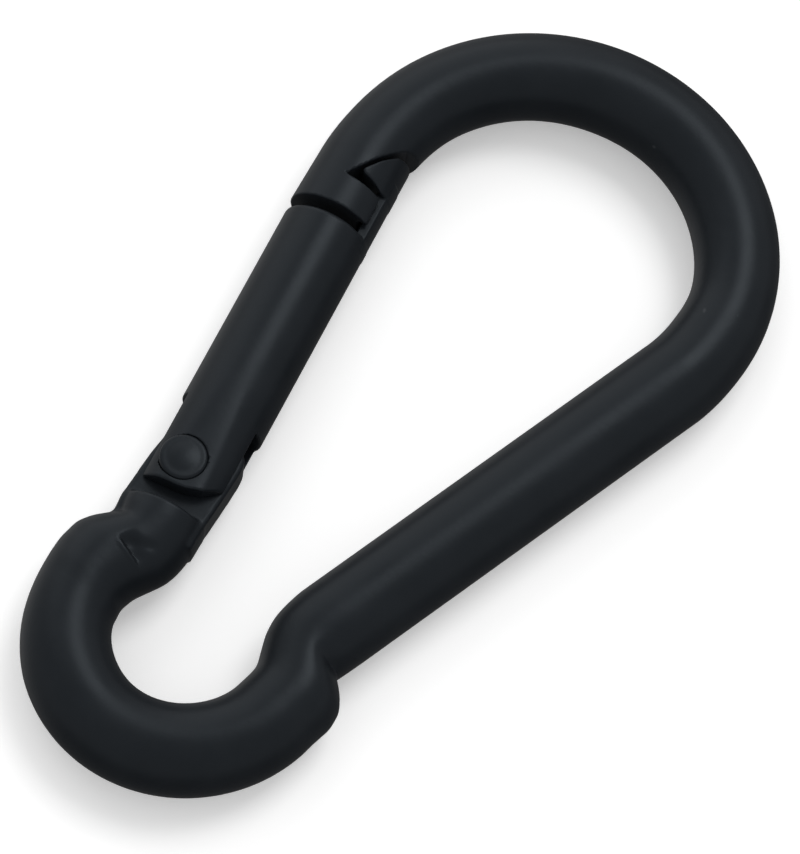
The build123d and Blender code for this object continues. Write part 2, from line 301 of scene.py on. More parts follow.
LEFT_IN += [(2.0, -3.20), (2.85, -3.08), (3.65, -3.10), (4.7, -3.19), (5.99, -3.52), (8.0, -4.01)]
LEFT_EYE = [(-4.2, -8.88), (-2.6, -9.47), (-1.2, -9.79), (-0.15, -9.94), (1.25, -9.88)]
LEFT_EYE += [(2.15, -9.44), (2.85, -8.84), (3.5, -8.23), (4.6, -7.0), (8.0, -2.0)]
LEFT_STEM = [(-2.6, -7.0), (2.6, -8.15), (3.45, -8.44), (4.2, -8.84), (4.9, -8.97), (8.0, -9.72)]
LEFT_CREST = [(-4.2, -5.8), (-2.6, -6.78), (-1.2, -7.05), (0, -7.10), (0.9, -7.12), (1.5, -7.0)]
LEFT_CREST += [(2.1, -6.60), (2.7, -6.28), (3.5, -6.08), (4.75, -6.08), (6, -6.33), (8, -6.85)]
LEFT_H = [(-4.2, 2.76), (-2.6, 2.76), (0, 2.80), (1.3, 2.80), (2.0, 2.74), (2.85, 2.70)]
LEFT_H += [(3.5, 2.70), (4.5, 2.76), (6.0, 2.80), (8, 2.80)]
RIGHT_KINK = (
    even(RIGHT_IN, 0.30),
    even(RIGHT_EYE, 0.22),
    even(RIGHT_SPINE),
    even(RIGHT_CREST, 0.40),
    even(RIGHT_H, 0.5),
)
LEFT_KINK = (
    even(LEFT_IN, 0.26),
    even(LEFT_EYE, 0.22),
    even(LEFT_STEM, 0.2),
    even(LEFT_CREST, 0.28),
    even(LEFT_H, 0.35),
)
KINK_CORNER = 0.22  # softens the corner between the eye and the straight length
CREST_CORE = 0.3  # this close to the crest line, deep in the bar, the field is a constant
CORE_VALUE = -1.5
# The fold at the left kink, with a low lip on its edge and a dip beside it: place and direction.
FOLD = (-6.91, 1.59)
FOLD_ALONG = (0.971, -0.238)
FOLD_DEPTH = 0.34
FOLD_LIP_RISE = 0.035
FOLD_LIP_OFFSET = 0.16
FOLD_LIP_WIDTH = 0.13
DIP = (-6.2, 1.68)
DIP_ALONG = (0.87, 0.49)
DIP_DEPTH = 0.11
DIP_WIDTH = 0.30
# The valley at the right kink: place and direction, and how wide it is on either side.
VALLEY = (6.8, 4.40)
VALLEY_ALONG = (0.964, -0.265)
VALLEY_DEPTH = 0.17
VALLEY_SPINE_WIDTH = 0.60
VALLEY_EYE_WIDTH = 0.62


def kink(x, y, z, curves, side):
    """A kinked length of bar, slice by slice in y, on the right (side 1) or left (side -1)."""
    inner, outer_a, outer_b, crest, heights = curves
    xin = inner(y)
    xout = side * blend_max(side * outer_a(y), side * outer_b(y), KINK_CORNER)
    top = crest(y)
    w = np.where((x - top) * side < 0, np.abs(top - xin), np.abs(xout - top))
    h = heights(y)
    d = np.hypot(x - top, z)
    f = (np.hypot((x - top) / w, z / h) - 1) * np.minimum(w, h)
    return np.where(d < CREST_CORE, CORE_VALUE, f)


def along_across(x, y, place, way):
    """How far a point lies along a direction from a place, and across it to the left."""
    dx, dy = x - place[0], y - place[1]
    return dx * way[0] + dy * way[1], dy * way[0] - dx * way[1]


def fold(x, y, z):
    """Depth of the crease where the eye's end is folded over the root of the stem.

    Each ease() is one flank of it, in millimetres along the fold (t, a), across it (u) or up (z).
    """
    t, u = along_across(x, y, FOLD, FOLD_ALONG)
    depth = FOLD_DEPTH * ease(0.0, 0.85, t) * (1 - ease(1.2, 2.7, t))
    cut = depth * ease(-0.07, 0.14, u) * (1 - ease(0.10, 1.35, u))
    lip = FOLD_LIP_RISE * ease(0.1, 0.8, t) * (1 - ease(1.8, 2.6, t))
    lip = lip * np.exp(-(((u + FOLD_LIP_OFFSET) / FOLD_LIP_WIDTH) ** 2))
    a, b = along_across(x, y, DIP, DIP_ALONG)
    dip = DIP_DEPTH * ease(-0.2, 0.6, a) * (1 - ease(1.2, 2.4, a)) * np.exp(-((b / DIP_WIDTH) ** 2))
    return (cut - lip + dip) * ease(0.3, 1.0, np.abs(z))


def valley(x, y, z):
    """Depth of the dip between the end of the spine and the swelling of the eye."""
    a, b = along_across(x, y, VALLEY, VALLEY_ALONG)
    width = np.where(b > 0, VALLEY_SPINE_WIDTH, VALLEY_EYE_WIDTH)
    depth = VALLEY_DEPTH * ease(-0.3, 1.6, a) * np.exp(-((b / width) ** 2))
    return depth * ease(0.3, 1.7, np.abs(z))


def cam_points():
    """The tang's cam under the plunger's round nose, from shut to open."""
    out = []
    for i in range(CAM_STEPS + 1):
        theta = CAM_SWING * i / CAM_STEPS
        ds, dq = PLUNGER_S - PIVOT_S + CAM_LIFT * theta, -PIVOT_Q
        c, s = math.cos(theta), math.sin(theta)
        centre = (ds * c - dq * s, ds * s + dq * c)
        slope = (CAM_LIFT * c - centre[1], CAM_LIFT * s + centre[0])
        reach = (PLUNGER_R + CAM_GAP) / math.hypot(*slope)
        out.append((PIVOT_Q + centre[1] + reach * slope[0], PIVOT_S + centre[0] - reach * slope[1]))
    return out


def seat_points():
    """The arc that carries on from the cam, round the plunger's nose while the gate is shut."""
    reach = PLUNGER_R + CAM_GAP
    angles = [math.radians(a) for a in range(20, 64, 6)]
    return [(-reach * math.sin(a), PLUNGER_S - reach * math.cos(a)) for a in angles]


tang_inner = [(2.30, 5.0), (2.34, 6.05), (2.49, 7.55), (2.62, 9.05), (2.73, 10.6), (2.72, 11.25)]
tang_inner += [(2.62, 11.7), (2.36, 12.06)]
tang_top = [(-1.55, 13.30), (-1.9, 13.18), (-2.2, 12.85), (-2.38, 12.35)]
tang_outer = [(-2.42, 11.9), (-2.55, 10.8), (-2.78, 9.45), (-2.93, 7.95), (-3.06, 6.45), (-3.05, 5.0)]
TANG = smooth_path(tang_inner, 4) + cam_points()[::-1] + seat_points() + tang_top
TANG += smooth_path(tang_outer, 4)
NOTCH = [(4.4, NOTCH_S - 0.35), (-0.12, NOTCH_S), (-0.2, 31.70), (0.5, 32.75), (0.94, 33.45)]
NOTCH += [(1.57, 34.3), (2.14, 35.0), (2.34, 35.2), (2.70, 35.42), (4.4, 36.1)]

SHOULDER_EDGE_R = 0.26
TANG_SPAN = (4.6, 14.2)  # the length along the gate where the tang is worked out
TANG_EDGE_R = 0.28
TANG_BORE_EDGE_R = 0.04
TANG_ROOT_FILLET = 0.35
NOTCH_EDGE_R = 0.08
LIP_SLOT_PAST_NOTCH = 0.5
LIP_SLOT_EDGE_R = 0.20
SPINE = (spine_top, SPINE_DIR, SPINE_OUT, spine_len, (2.91, 2.84), (2.80, 2.93))
# Where each length of the hook is worked out, as x from, x to, y from, y to.
BEND_BOX = (-16, 11, 30, 51)
CORNER_BOX = (5, 16, 31, 46.5)
SPINE_BOX = (2.5, 16, 5.8, 35)
EYE_BOX = (-11, 11, -11, 1)
RIGHT_KINK_BOX = (1.5, 12, -1.6, 8.2)
LEFT_KINK_BOX = (-11, -1, -2.6, 14)
NOSE_BOX = (-16, -6, 26, 34)
NOTCH_BOX = (-16, -5, 25, 39)
# Where in y one length of the hook turns gradually into the next.
EYE_TO_RIGHT_KINK = (-1.4, 0.2)
RIGHT_KINK_TO_SPINE = (6.0, 8.0)
EYE_TO_LEFT_KINK = (-2.5, -0.9)


def gate_axes(x, y):
    """Drawing frame (x, y) to the gate's (q, s)."""
    dx, dy = x - FOOT[0], y - FOOT[1]
    return dx * N[0] + dy * N[1], dx * G[0] + dy * G[1]


def stem_field(x, y, z):
    """The left kink cut off square at the shoulder, and the flat tang that stands on it."""
    q, s = gate_axes(x, y)
    stem = kink(x, y, z, LEFT_KINK, -1) + fold(x, y, z)
    stem = round_and(stem, s - SHOULDER_S, SHOULDER_EDGE_R)
    tang = np.full(x.shape, FAR)
    near = (s > TANG_SPAN[0]) & (s < TANG_SPAN[1])
    if near.any():
        outline = polygon(q[near], s[near], TANG)
        flat = round_and(outline, np.abs(z[near]) - TANG_HALF, TANG_EDGE_R)
        bore = np.hypot(q[near] - PIVOT_Q, s[near] - PIVOT_S) - TANG_BORE_R
        tang[near] = round_cut(flat, bore, TANG_BORE_EDGE_R)
    return blend_min(stem, tang, TANG_ROOT_FILLET)


def nose_field(x, y, z):
    """The straight nose at the end of the bend, cut off square."""
    s = gate_axes(x, y)[1]
    start = FOOT + (NOSE_S - BAR_OVERLAP) * G
    length = NOSE_TANGENT_S - NOSE_S + BAR_OVERLAP
    f = straight(x, y, z, start, G, -N, length, NOSE_END_W, NOSE_W)
    return round_and(f, NOSE_S - s, NOSE_EDGE_R)


def right_kink_field(x, y, z):
    """From the eye through the right kink to the spine."""
    kinked = kink(x, y, z, RIGHT_KINK, 1) + valley(x, y, z)
    eye = bent(x, y, z, (0, 0), EYE_R, EYE)
    kinked = eye + ease(*EYE_TO_RIGHT_KINK, y) * (kinked - eye)
    spine = straight(x, y, z, *SPINE)
    return kinked + ease(*RIGHT_KINK_TO_SPINE, y) * (spine - kinked)


def left_kink_field(x, y, z):
    """From the eye through the left kink to the tang."""
    eye = bent(x, y, z, (0, 0), EYE_R, EYE)
    return eye + ease(*EYE_TO_LEFT_KINK, y) * (stem_field(x, y, z) - eye)


def cut_notch(f, x, y, z):
    """Takes the notch and the slot for the catch's neck out of the nose."""
    q, s = gate_axes(x, y)
    f = round_cut(f, polygon(q, s, NOTCH), NOTCH_EDGE_R)
    ends = np.maximum(LIP_SLOT_Q - q, s - NOTCH_S - LIP_SLOT_PAST_NOTCH)
    return round_cut(f, np.maximum(np.abs(z) - LIP_HALF, ends), LIP_SLOT_EDGE_R)


def hook_field(x, y, z):
    """The whole bar, from the nose round the bend, spine and eye to the tang."""
    f = within(x, y, z, BEND_BOX, bent, BEND_C, BEND_R, BEND)
    f = np.minimum(f, within(x, y, z, CORNER_BOX, bent, corner_c, CORNER_R, CORNER))
    f = np.minimum(f, within(x, y, z, SPINE_BOX, straight, *SPINE))
    f = np.minimum(f, within(x, y, z, EYE_BOX, bent, (0, 0), EYE_R, EYE))
    for box, shape in ((RIGHT_KINK_BOX, right_kink_field), (LEFT_KINK_BOX, left_kink_field)):
        near = in_box(x, y, box)
        if near.any():
            f[near] = shape(x[near], y[near], z[near])
    f = np.minimum(f, within(x, y, z, NOSE_BOX, nose_field))
    near = in_box(x, y, NOTCH_BOX)
    if near.any():
        f[near] = cut_notch(f[near], x[near], y[near], z[near])
    return f


# ---- gate -------------------------------------------------------------------------------
HEAD = [(0.58, 32.34), (0.78, 32.19), (1.42, 32.06), (2.13, 31.80), (4.0, 31.73), (4.0, 35.25)]
HEAD += [(2.62, 34.80), (2.05, 34.52), (1.32, 33.62), (0.62, 32.56)]
EARS = [(-4.5, 6.8), (4.5, 6.8), (4.5, 9.7), (2.6, 9.08), (2.25, 8.86), (1.42, 8.19), (0.4, 7.86)]
EARS += [(-0.2, EAR_S), (-4.5, EAR_S)]

CATCH_FROM_S = GATE_TOP_S - 1.2  # the catch is worked out above this
LOWER_TO_S = 25.6  # and the lower end below this
HEAD_EDGE_R = 0.15
NECK_FROM_S = GATE_TOP_S - 0.8
NECK_TO_S = 33
NECK_EDGE_R = 0.06
CATCH_FILLET = 0.12
FLAT_SPREAD = 1.2  # how gradually the flats run out into the round
FLAT_EDGE = 0.22
EAR_EDGE_R = 0.14
SEAT_EDGE_R = 0.05
SLOT_EDGE_R = 0.10
BORE_START = 12.5


def catch_field(bar, q, s, z):
    """The T-shaped catch: a head on a thin neck, both within the round of the bar."""
    head = round_and(bar, polygon(q, s, HEAD), HEAD_EDGE_R)
    neck = np.maximum(np.maximum(NECK_Q - q, NECK_FROM_S - s), s - NECK_TO_S)
    neck = round_and(np.maximum(neck, bar), np.abs(z) - NECK_HALF, NECK_EDGE_R)
    return blend_min(head, neck, CATCH_FILLET)


def cut_lower_end(f, q, s, z):
    """Cuts the flats, ears, rivet seats, tang slot, rivet hole and spring bore."""
    height = np.abs(z)
    rise = (BAR_R - EAR_FLAT_Z) / (EAR_RAMP_TOP_S - EAR_FLAT_TOP_S)
    ramp_up = rise * blend_max(s - EAR_FLAT_TOP_S, s * 0, FLAT_SPREAD)
    f = blend_max(f, height - EAR_FLAT_Z - ramp_up, FLAT_EDGE)
    f = round_cut(f, polygon(q, s, EARS), EAR_EDGE_R)
    from_pivot = np.hypot(q - PIVOT_Q, s - PIVOT_S)
    f = round_cut(f, np.maximum(from_pivot - HEAD_R, SEAT_Z - height), SEAT_EDGE_R)
    slope = (SLOT_TOP_OUT - SLOT_TOP_IN) / (2 * BAR_R)
    top = s - (SLOT_TOP_IN + SLOT_TOP_OUT) / 2 + slope * q
    f = round_cut(f, np.maximum(height - SLOT_HALF, top), SLOT_EDGE_R)
    f = np.maximum(f, RIVET_R - from_pivot)
    bore = np.maximum(np.hypot(q, z) - BORE_R, s - BORE_END)
    return np.maximum(f, -np.maximum(bore, BORE_START - s))


def gate_field(q, s, z):
    """The gate in its own frame: a round bar, the catch at its top and the fork at its foot."""
    bar = np.hypot(q, z) - BAR_R
    f = round_and(bar, s - GATE_TOP_S, EDGE_R)
    catch = np.full(q.shape, FAR)
    near = s > CATCH_FROM_S
    if near.any():
        catch[near] = catch_field(bar[near], q[near], s[near], z[near])
    f = blend_min(f, catch, CATCH_FILLET)
    near = s < LOWER_TO_S
    if near.any():
        f[near] = cut_lower_end(f[near], q[near], s[near], z[near])
    return f


# ---- from a field to a mesh -------------------------------------------------------------
LONGEST_MOVE = 0.12  # of a point in one round of settle()
LEAST_SLOPE = 0.05  # squared; keeps settle() steady where a field is flat
RELAX_ROUNDS = 2
RELAX_PULL = 0.45  # how far a point goes towards the mean of its neighbours in each round
NORMAL_STEP = 0.02


def gradient(field, p, step=0.004):
    """Slope of a field at each point, by central differences."""
    g = np.empty_like(p)
    for axis in range(3):
        a, b = p.copy(), p.copy()
        a[:, axis] += step
        b[:, axis] -= step
        g[:, axis] = (field(*a.T) - field(*b.T)) / (2 * step)
    return g


def settle(field, p, rounds):
    """Moves points onto the field's surface."""
    for _ in range(rounds):
        g = gradient(field, p)
        size = np.maximum((g * g).sum(1), LEAST_SLOPE)
        move = (field(*p.T) / size)[:, None] * g
        length = np.linalg.norm(move, axis=1, keepdims=True)
        p = p - move * np.minimum(1, LONGEST_MOVE / np.maximum(length, 1e-9))
    return p


def polygonise(field, axes):
    """Surface nets: one vertex in each grid cell that the surface crosses, joined in quads.

    Returns the vertices, the quads and a normal for each vertex.
    """
    shape = tuple(len(a) for a in axes)
    grid = np.meshgrid(*axes, indexing="ij")
    f = field(*[g.ravel() for g in grid]).reshape(shape)
    inside = f < 0
    cells = tuple(n - 1 for n in shape)
    total = np.zeros(cells + (3,), np.float32)
    count = np.zeros(cells, np.int16)
    crossings = []
    for axis in range(3):
        a = [slice(None)] * 3
        b = [slice(None)] * 3
        a[axis], b[axis] = slice(None, -1), slice(1, None)
        a, b = tuple(a), tuple(b)
        at = np.argwhere(inside[a] != inside[b])
        ends = at.copy()
        ends[:, axis] += 1
        f0, f1 = f[tuple(at.T)], f[tuple(ends.T)]
        t = f0 / (f0 - f1)
        point = np.stack([axes[k][at[:, k]] for k in range(3)], 1)
        point[:, axis] += t * (axes[axis][ends[:, axis]] - axes[axis][at[:, axis]])
        others = [k for k in range(3) if k != axis]
        around = []
        for i, j in ((-1, -1), (0, -1), (0, 0), (-1, 0)):
            cell = at.copy()
            cell[:, others[0]] += i
            cell[:, others[1]] += j
            np.add.at(total, tuple(cell.T), point.astype(np.float32))
            np.add.at(count, tuple(cell.T), 1)
            around.append(cell)
        crossings.append((axis, f0 < 0, around))
    active = np.argwhere(count > 0)
    index = np.full(cells, -1, np.int64)
    index[tuple(active.T)] = np.arange(len(active))
    verts = total[tuple(active.T)].astype(float) / count[tuple(active.T)][:, None]
    quads = []
    for axis, starts_inside, around in crossings:
        q = np.stack([index[tuple(c.T)] for c in around], 1)
        flip = starts_inside == (axis == 1)
        q[flip] = q[flip][:, ::-1]
        quads.append(q)
    quads = np.vstack(quads)
    verts = settle(field, verts, 3)
    edges = np.vstack([quads[:, [i, (i + 1) % 4]] for i in range(4)])
    degree = np.bincount(edges.ravel(), minlength=len(verts)).astype(float)
    for _ in range(RELAX_ROUNDS):
        mean = np.zeros_like(verts)
        for k in range(3):
            mean[:, k] = np.bincount(edges[:, 0], verts[edges[:, 1], k], len(verts))
            mean[:, k] += np.bincount(edges[:, 1], verts[edges[:, 0], k], len(verts))
        verts = settle(field, verts + RELAX_PULL * (mean / degree[:, None] - verts), 2)
    normals = gradient(field, verts, NORMAL_STEP)
    normals /= np.maximum(np.linalg.norm(normals, axis=1, keepdims=True), 1e-9)
    return verts, quads, normals


def graded(*runs):
    """Grid lines over runs of (start, stop, step)."""
    lines = [np.linspace(a, b, max(2, round((b - a) / step) + 1))[:-1] for a, b, step in runs]
    return np.concatenate(lines + [[runs[-1][1]]])


def to_row(points):
    """Drawing frame in millimetres to the row's frame in metres."""
    return (points + ORIGIN) * MM


def turn_from_gate(points):
    """Turns gate-frame (q, s, z) directions into the drawing frame."""
    out = np.empty_like(points)
    out[:, :2] = points[:, :1] * N + points[:, 1:2] * G
    out[:, 2] = points[:, 2]
    return out


def place_from_gate(points):
    """Gate-frame (q, s, z) places to the drawing frame."""
    return turn_from_gate(points) + [FOOT[0], FOOT[1], 0]


def link(name, data):
    """Puts a new object with this data into the scene."""
    obj = bpy.data.objects.new(name, data)
    bpy.context.scene.collection.objects.link(obj)
    return obj


def add_quads(name, verts, quads, normals):
    """A smooth piece from arrays of vertices, quads and vertex normals."""
    mesh = bpy.data.meshes.new(name)
    mesh.vertices.add(len(verts))
    mesh.vertices.foreach_set("co", np.asarray(verts, np.float32).ravel())
    mesh.loops.add(quads.size)
    mesh.loops.foreach_set("vertex_index", quads.ravel().astype(np.int32))
    mesh.polygons.add(len(quads))
    mesh.polygons.foreach_set("loop_start", np.arange(0, quads.size, 4, dtype=np.int32))
    mesh.update(calc_edges=True)
    mesh.validate()
    mesh.shade_smooth()
    mesh.normals_split_custom_set_from_vertices(normals.astype(np.float32))
    return link(name, mesh)


# Grid lines in runs of (start, stop, step), finest where the small edges are.
coarse = 1.0
hook_grid = (
    graded((-15.9, 15.6, 0.18 * coarse)),
    graded(
        (-10.6, -2, 0.28 * coarse),
        (-2, 14.2, 0.137 * coarse),
        (14.2, 26.4, 0.40 * coarse),
        (26.4, 36, 0.12 * coarse),
        (36, 50.2, 0.26 * coarse),
    ),
    graded((-3.03, 3.03, 0.15 * coarse)),
)
verts, quads, normals = polygonise(hook_field, hook_grid)
hook = add_quads("hook_bar", to_row(verts), quads, normals)

gate_grid = (
    graded((-3.03, 3.03, 0.12 * coarse)),
    graded(
        (7.4, 15, 0.11 * coarse),
        (15, 27.6, 0.4 * coarse),
        (27.6, 35.6, 0.10 * coarse),
    ),
    graded((-3.03, 3.03, 0.12 * coarse)),
)
verts, quads, normals = polygonise(gate_field, gate_grid)
gate = add_quads("gate_bar", to_row(place_from_gate(verts)), quads, turn_from_gate(normals))


# ---- turned pieces and the spring ---------------------------------------------------------
RIVET_SIDES = 72
RIM_R = 0.22
RIM_CENTRE_Z = 2.50
SEAT_CHAMFER = 0.03
PLUNGER_SIDES = 48
PLUNGER_CHAMFER = 0.2
SPRING_PLAY = 0.01  # between the spring and the faces it presses on
STEPS_PER_TURN = 44
WIRE_SIDES = 12
CLOSED_TURNS = 0.8  # at each end of the spring
CLOSED_PITCH = 0.5  # rise of a closed turn, in wire thicknesses


def lathe(profile, count):
    """Turns (r, h) points about the h axis; returns points (u, v, h) and faces."""
    points, faces, rings = [], [], []
    for r, h in profile:
        if r < 1e-6:
            rings.append([len(points)])
            points.append((0, 0, h))
            continue
        ring = []
        for i in range(count):
            a = 2 * math.pi * i / count
            ring.append(len(points))
            points.append((r * math.cos(a), r * math.sin(a), h))
        rings.append(ring)
    for a, b in zip(rings, rings[1:]):
        for i in range(count):
            j = (i + 1) % count
            quad = [a[i % len(a)], a[j % len(a)], b[j % len(b)], b[i % len(b)]]
            faces.append([v for k, v in enumerate(quad) if v not in quad[:k]])
    return np.array(points, float), faces


def add_faces(name, points, faces):
    """A smooth piece from points and faces of any number of corners."""
    mesh = bpy.data.meshes.new(name)
    mesh.from_pydata([tuple(p) for p in points], [], faces)
    mesh.update()
    mesh.shade_smooth()
    return link(name, mesh)


def arc(cx, cy, r, start, stop, count):
    """Points on an arc between two angles in degrees."""
    angles = np.radians(np.linspace(start, stop, count))
    return [(cx + r * math.cos(a), cy + r * math.sin(a)) for a in angles]


def add_rivet():
    """Each head has a rounded rim and a low crown set in a shallow ring."""
    rim = arc(HEAD_R - RIM_R, RIM_CENTRE_Z, RIM_R, 0, 84, 10)
    crown = [(1.20, 2.720), (1.12, 2.720), (1.04, 2.723), (0.96, 2.731), (0.88, 2.745)]
    crown += [(0.75, 2.772), (0.6, 2.798), (0.42, 2.821), (0.2, 2.835), (0, 2.839)]
    shank = [(RIVET_R, 0), (RIVET_R, SEAT_Z)]
    seat = [(HEAD_R - SEAT_CHAMFER, SEAT_Z), (HEAD_R, SEAT_Z + SEAT_CHAMFER)]
    half = shank + seat + rim + crown
    profile = [(r, -h) for r, h in half[::-1]] + half[1:]
    points, faces = lathe(profile, RIVET_SIDES)
    points[:, :2] += PIVOT
    return add_faces("rivet_pin", to_row(points), faces)


def add_plunger():
    """A round nose, a straight barrel and a chamfered back."""
    back = PLUNGER_S + PLUNGER_LEN
    profile = [(0, PLUNGER_S - PLUNGER_R)] + arc(0, PLUNGER_S, PLUNGER_R, -90, 0, 14)[1:]
    profile += [(PLUNGER_R, back - PLUNGER_CHAMFER), (PLUNGER_R - PLUNGER_CHAMFER, back), (0, back)]
    points, faces = lathe(profile, PLUNGER_SIDES)
    points = place_from_gate(points[:, [0, 2, 1]])
    return add_faces("plunger_pin", to_row(points), [f[::-1] for f in faces])


def spring_centre_line(start, stop):
    """Points along the wire, with closed turns at both ends."""
    coil_r = (SPRING_OD - SPRING_WIRE) / 2
    count = int(SPRING_TURNS * STEPS_PER_TURN) + 1
    closed = CLOSED_TURNS / SPRING_TURNS
    closed_rise = SPRING_WIRE * CLOSED_TURNS * CLOSED_PITCH
    centres = []
    for i in range(count):
        t = i / (count - 1)
        a = 2 * math.pi * SPRING_TURNS * t
        if t < closed:
            rise = SPRING_WIRE * t * SPRING_TURNS * CLOSED_PITCH
        elif t > 1 - closed:
            rise = (stop - start) - SPRING_WIRE * (1 - t) * SPRING_TURNS * CLOSED_PITCH
        else:
            open_rise = stop - start - 2 * closed_rise
            rise = closed_rise + (t - closed) / (1 - 2 * closed) * open_rise
        centres.append((coil_r * math.cos(a), start + rise, coil_r * math.sin(a)))
    return np.array(centres)


def add_spring(start, stop):
    """Round wire along spring_centre_line(), closed off at both ends."""
    centres = spring_centre_line(start, stop)
    tangent = np.gradient(centres, axis=0)
    tangent /= np.linalg.norm(tangent, axis=1, keepdims=True)
    radial = centres * [1, 0, 1]
    radial /= np.linalg.norm(radial, axis=1, keepdims=True)
    side = np.cross(tangent, radial)
    ring = []
    for k in range(WIRE_SIDES):
        b = 2 * math.pi * k / WIRE_SIDES
        ring.append(centres + SPRING_WIRE / 2 * (math.cos(b) * radial + math.sin(b) * side))
    points = np.stack(ring, 1).reshape(-1, 3)
    faces = []
    for i in range(len(centres) - 1):
        low, high = i * WIRE_SIDES, (i + 1) * WIRE_SIDES
        for k in range(WIRE_SIDES):
            j = (k + 1) % WIRE_SIDES
            faces.append([low + k, low + j, high + j, high + k])
    last = (len(centres) - 1) * WIRE_SIDES
    faces.append(list(range(WIRE_SIDES))[::-1])
    faces.append([last + k for k in range(WIRE_SIDES)])
    return add_faces("coil_spring", to_row(place_from_gate(points)), faces)


rivet = add_rivet()
plunger = add_plunger()
start = PLUNGER_S + PLUNGER_LEN + SPRING_WIRE / 2 + SPRING_PLAY
stop = BORE_END - SPRING_WIRE / 2 - SPRING_PLAY
spring = add_spring(start, stop)


# ---- materials ----------------------------------------------------------------------------
def node_material(name):
    """A material with one Principled shader; returns it, its tree, the shader and coordinates."""
    mat = bpy.data.materials.new(name)
    mat.use_nodes = True
    tree = mat.node_tree
    tree.nodes.clear()
    out = tree.nodes.new("ShaderNodeOutputMaterial")
    bsdf = tree.nodes.new("ShaderNodeBsdfPrincipled")
    tree.links.new(bsdf.outputs[0], out.inputs[0])
    coords = tree.nodes.new("ShaderNodeTexCoord")
    return mat, tree, bsdf, coords.outputs["Object"]


def noise(tree, coords, scale, detail, rough=0.55, stretch=None):
    """Noise over the coordinates, from 0 to 1."""
    node = tree.nodes.new("ShaderNodeTexNoise")
    node.inputs["Scale"].default_value = scale
    node.inputs["Detail"].default_value = detail
    node.inputs["Roughness"].default_value = rough
    if stretch:
        mapping = tree.nodes.new("ShaderNodeMapping")
        mapping.inputs["Scale"].default_value = stretch
        tree.links.new(coords, mapping.inputs[0])
        coords = mapping.outputs[0]
    tree.links.new(coords, node.inputs["Vector"])
    return node.outputs[0]


def ramp(tree, value, stops):
    """Turns a value into a colour by (position, colour) stops."""
    node = tree.nodes.new("ShaderNodeValToRGB")
    while len(node.color_ramp.elements) < len(stops):
        node.color_ramp.elements.new(0.5)
    for element, (at, colour) in zip(node.color_ramp.elements, stops):
        element.position = at
        element.color = (*colour, 1)
    tree.links.new(value, node.inputs[0])
    return node.outputs[0]


def remap(tree, value, low, high, a=0.3, b=0.7):
    """Stretches a value's range a to b onto low to high."""
    node = tree.nodes.new("ShaderNodeMapRange")
    node.inputs["From Min"].default_value = a
    node.inputs["From Max"].default_value = b
    node.inputs["To Min"].default_value = low
    node.inputs["To Max"].default_value = high
    tree.links.new(value, node.inputs["Value"])
    return node.outputs[0]


def bump(tree, height, distance, strength, normal=None):
    """A bumped normal, on top of another one if given."""
    node = tree.nodes.new("ShaderNodeBump")
    node.inputs["Distance"].default_value = distance
    node.inputs["Strength"].default_value = strength
    tree.links.new(height, node.inputs["Height"])
    if normal is not None:
        tree.links.new(normal, node.inputs["Normal"])
    return node.outputs[0]


def black_coating(name, seed):
    """Satin black, slightly blue, faintly mottled, with a few dust specks."""
    mat, tree, bsdf, coords = node_material(name)
    mapping = tree.nodes.new("ShaderNodeMapping")
    mapping.inputs["Location"].default_value = (seed * 0.137, seed * 0.071, seed * 0.053)
    tree.links.new(coords, mapping.inputs[0])
    coords = mapping.outputs[0]
    broad = noise(tree, coords, 260, 4, 0.6)
    fine = noise(tree, coords, 2600, 4, 0.6)
    tone = ramp(tree, broad, [(0.30, (0.0066, 0.0082, 0.0104)), (0.70, (0.0090, 0.0108, 0.0134))])
    specks = noise(tree, coords, 900, 1, 0.4)
    dust = ramp(tree, specks, [(0.80, (0, 0, 0)), (0.86, (1, 1, 1))])
    mix = tree.nodes.new("ShaderNodeMix")
    mix.data_type = "RGBA"
    tree.links.new(dust, mix.inputs["Factor"])
    tree.links.new(tone, mix.inputs["A"])
    mix.inputs["B"].default_value = (0.045, 0.048, 0.052, 1)
    tree.links.new(mix.outputs["Result"], bsdf.inputs["Base Color"])
    tree.links.new(remap(tree, broad, 0.34, 0.42), bsdf.inputs["Roughness"])
    bsdf.inputs["Specular IOR Level"].default_value = 0.18
    bsdf.inputs["Specular Tint"].default_value = (0.82, 0.92, 1.0, 1)
    grain = bump(tree, fine, 0.00002, 0.35)
    waves = bump(tree, noise(tree, coords, 700, 2, 0.5), 0.00003, 0.25, grain)
    tree.links.new(waves, bsdf.inputs["Normal"])
    return mat


def bright_steel(name, base, rough, stretch):
    """Bare steel with fine lines, drawn out by stretch."""
    mat, tree, bsdf, coords = node_material(name)
    lines = noise(tree, coords, 900, 5, 0.6, stretch)
    tint = ramp(tree, lines, [(0.3, tuple(0.8 * c for c in base)), (0.7, base)])
    tree.links.new(tint, bsdf.inputs["Base Color"])
    tree.links.new(remap(tree, lines, rough - 0.06, rough + 0.08), bsdf.inputs["Roughness"])
    bsdf.inputs["Metallic"].default_value = 1.0
    tree.links.new(bump(tree, lines, 0.00001, 0.3), bsdf.inputs["Normal"])
    return mat


for obj, material in (
    (hook, black_coating("black_coating_bar", 1)),
    (gate, black_coating("black_coating_gate", 2)),
    (rivet, black_coating("black_coating_rivet", 3)),
    (plunger, bright_steel("turned_steel", (0.50, 0.50, 0.49), 0.32, (1, 6, 1))),
    (spring, bright_steel("drawn_wire", (0.42, 0.42, 0.43), 0.28, (1, 1, 1))),
):
    obj.data.materials.append(material)

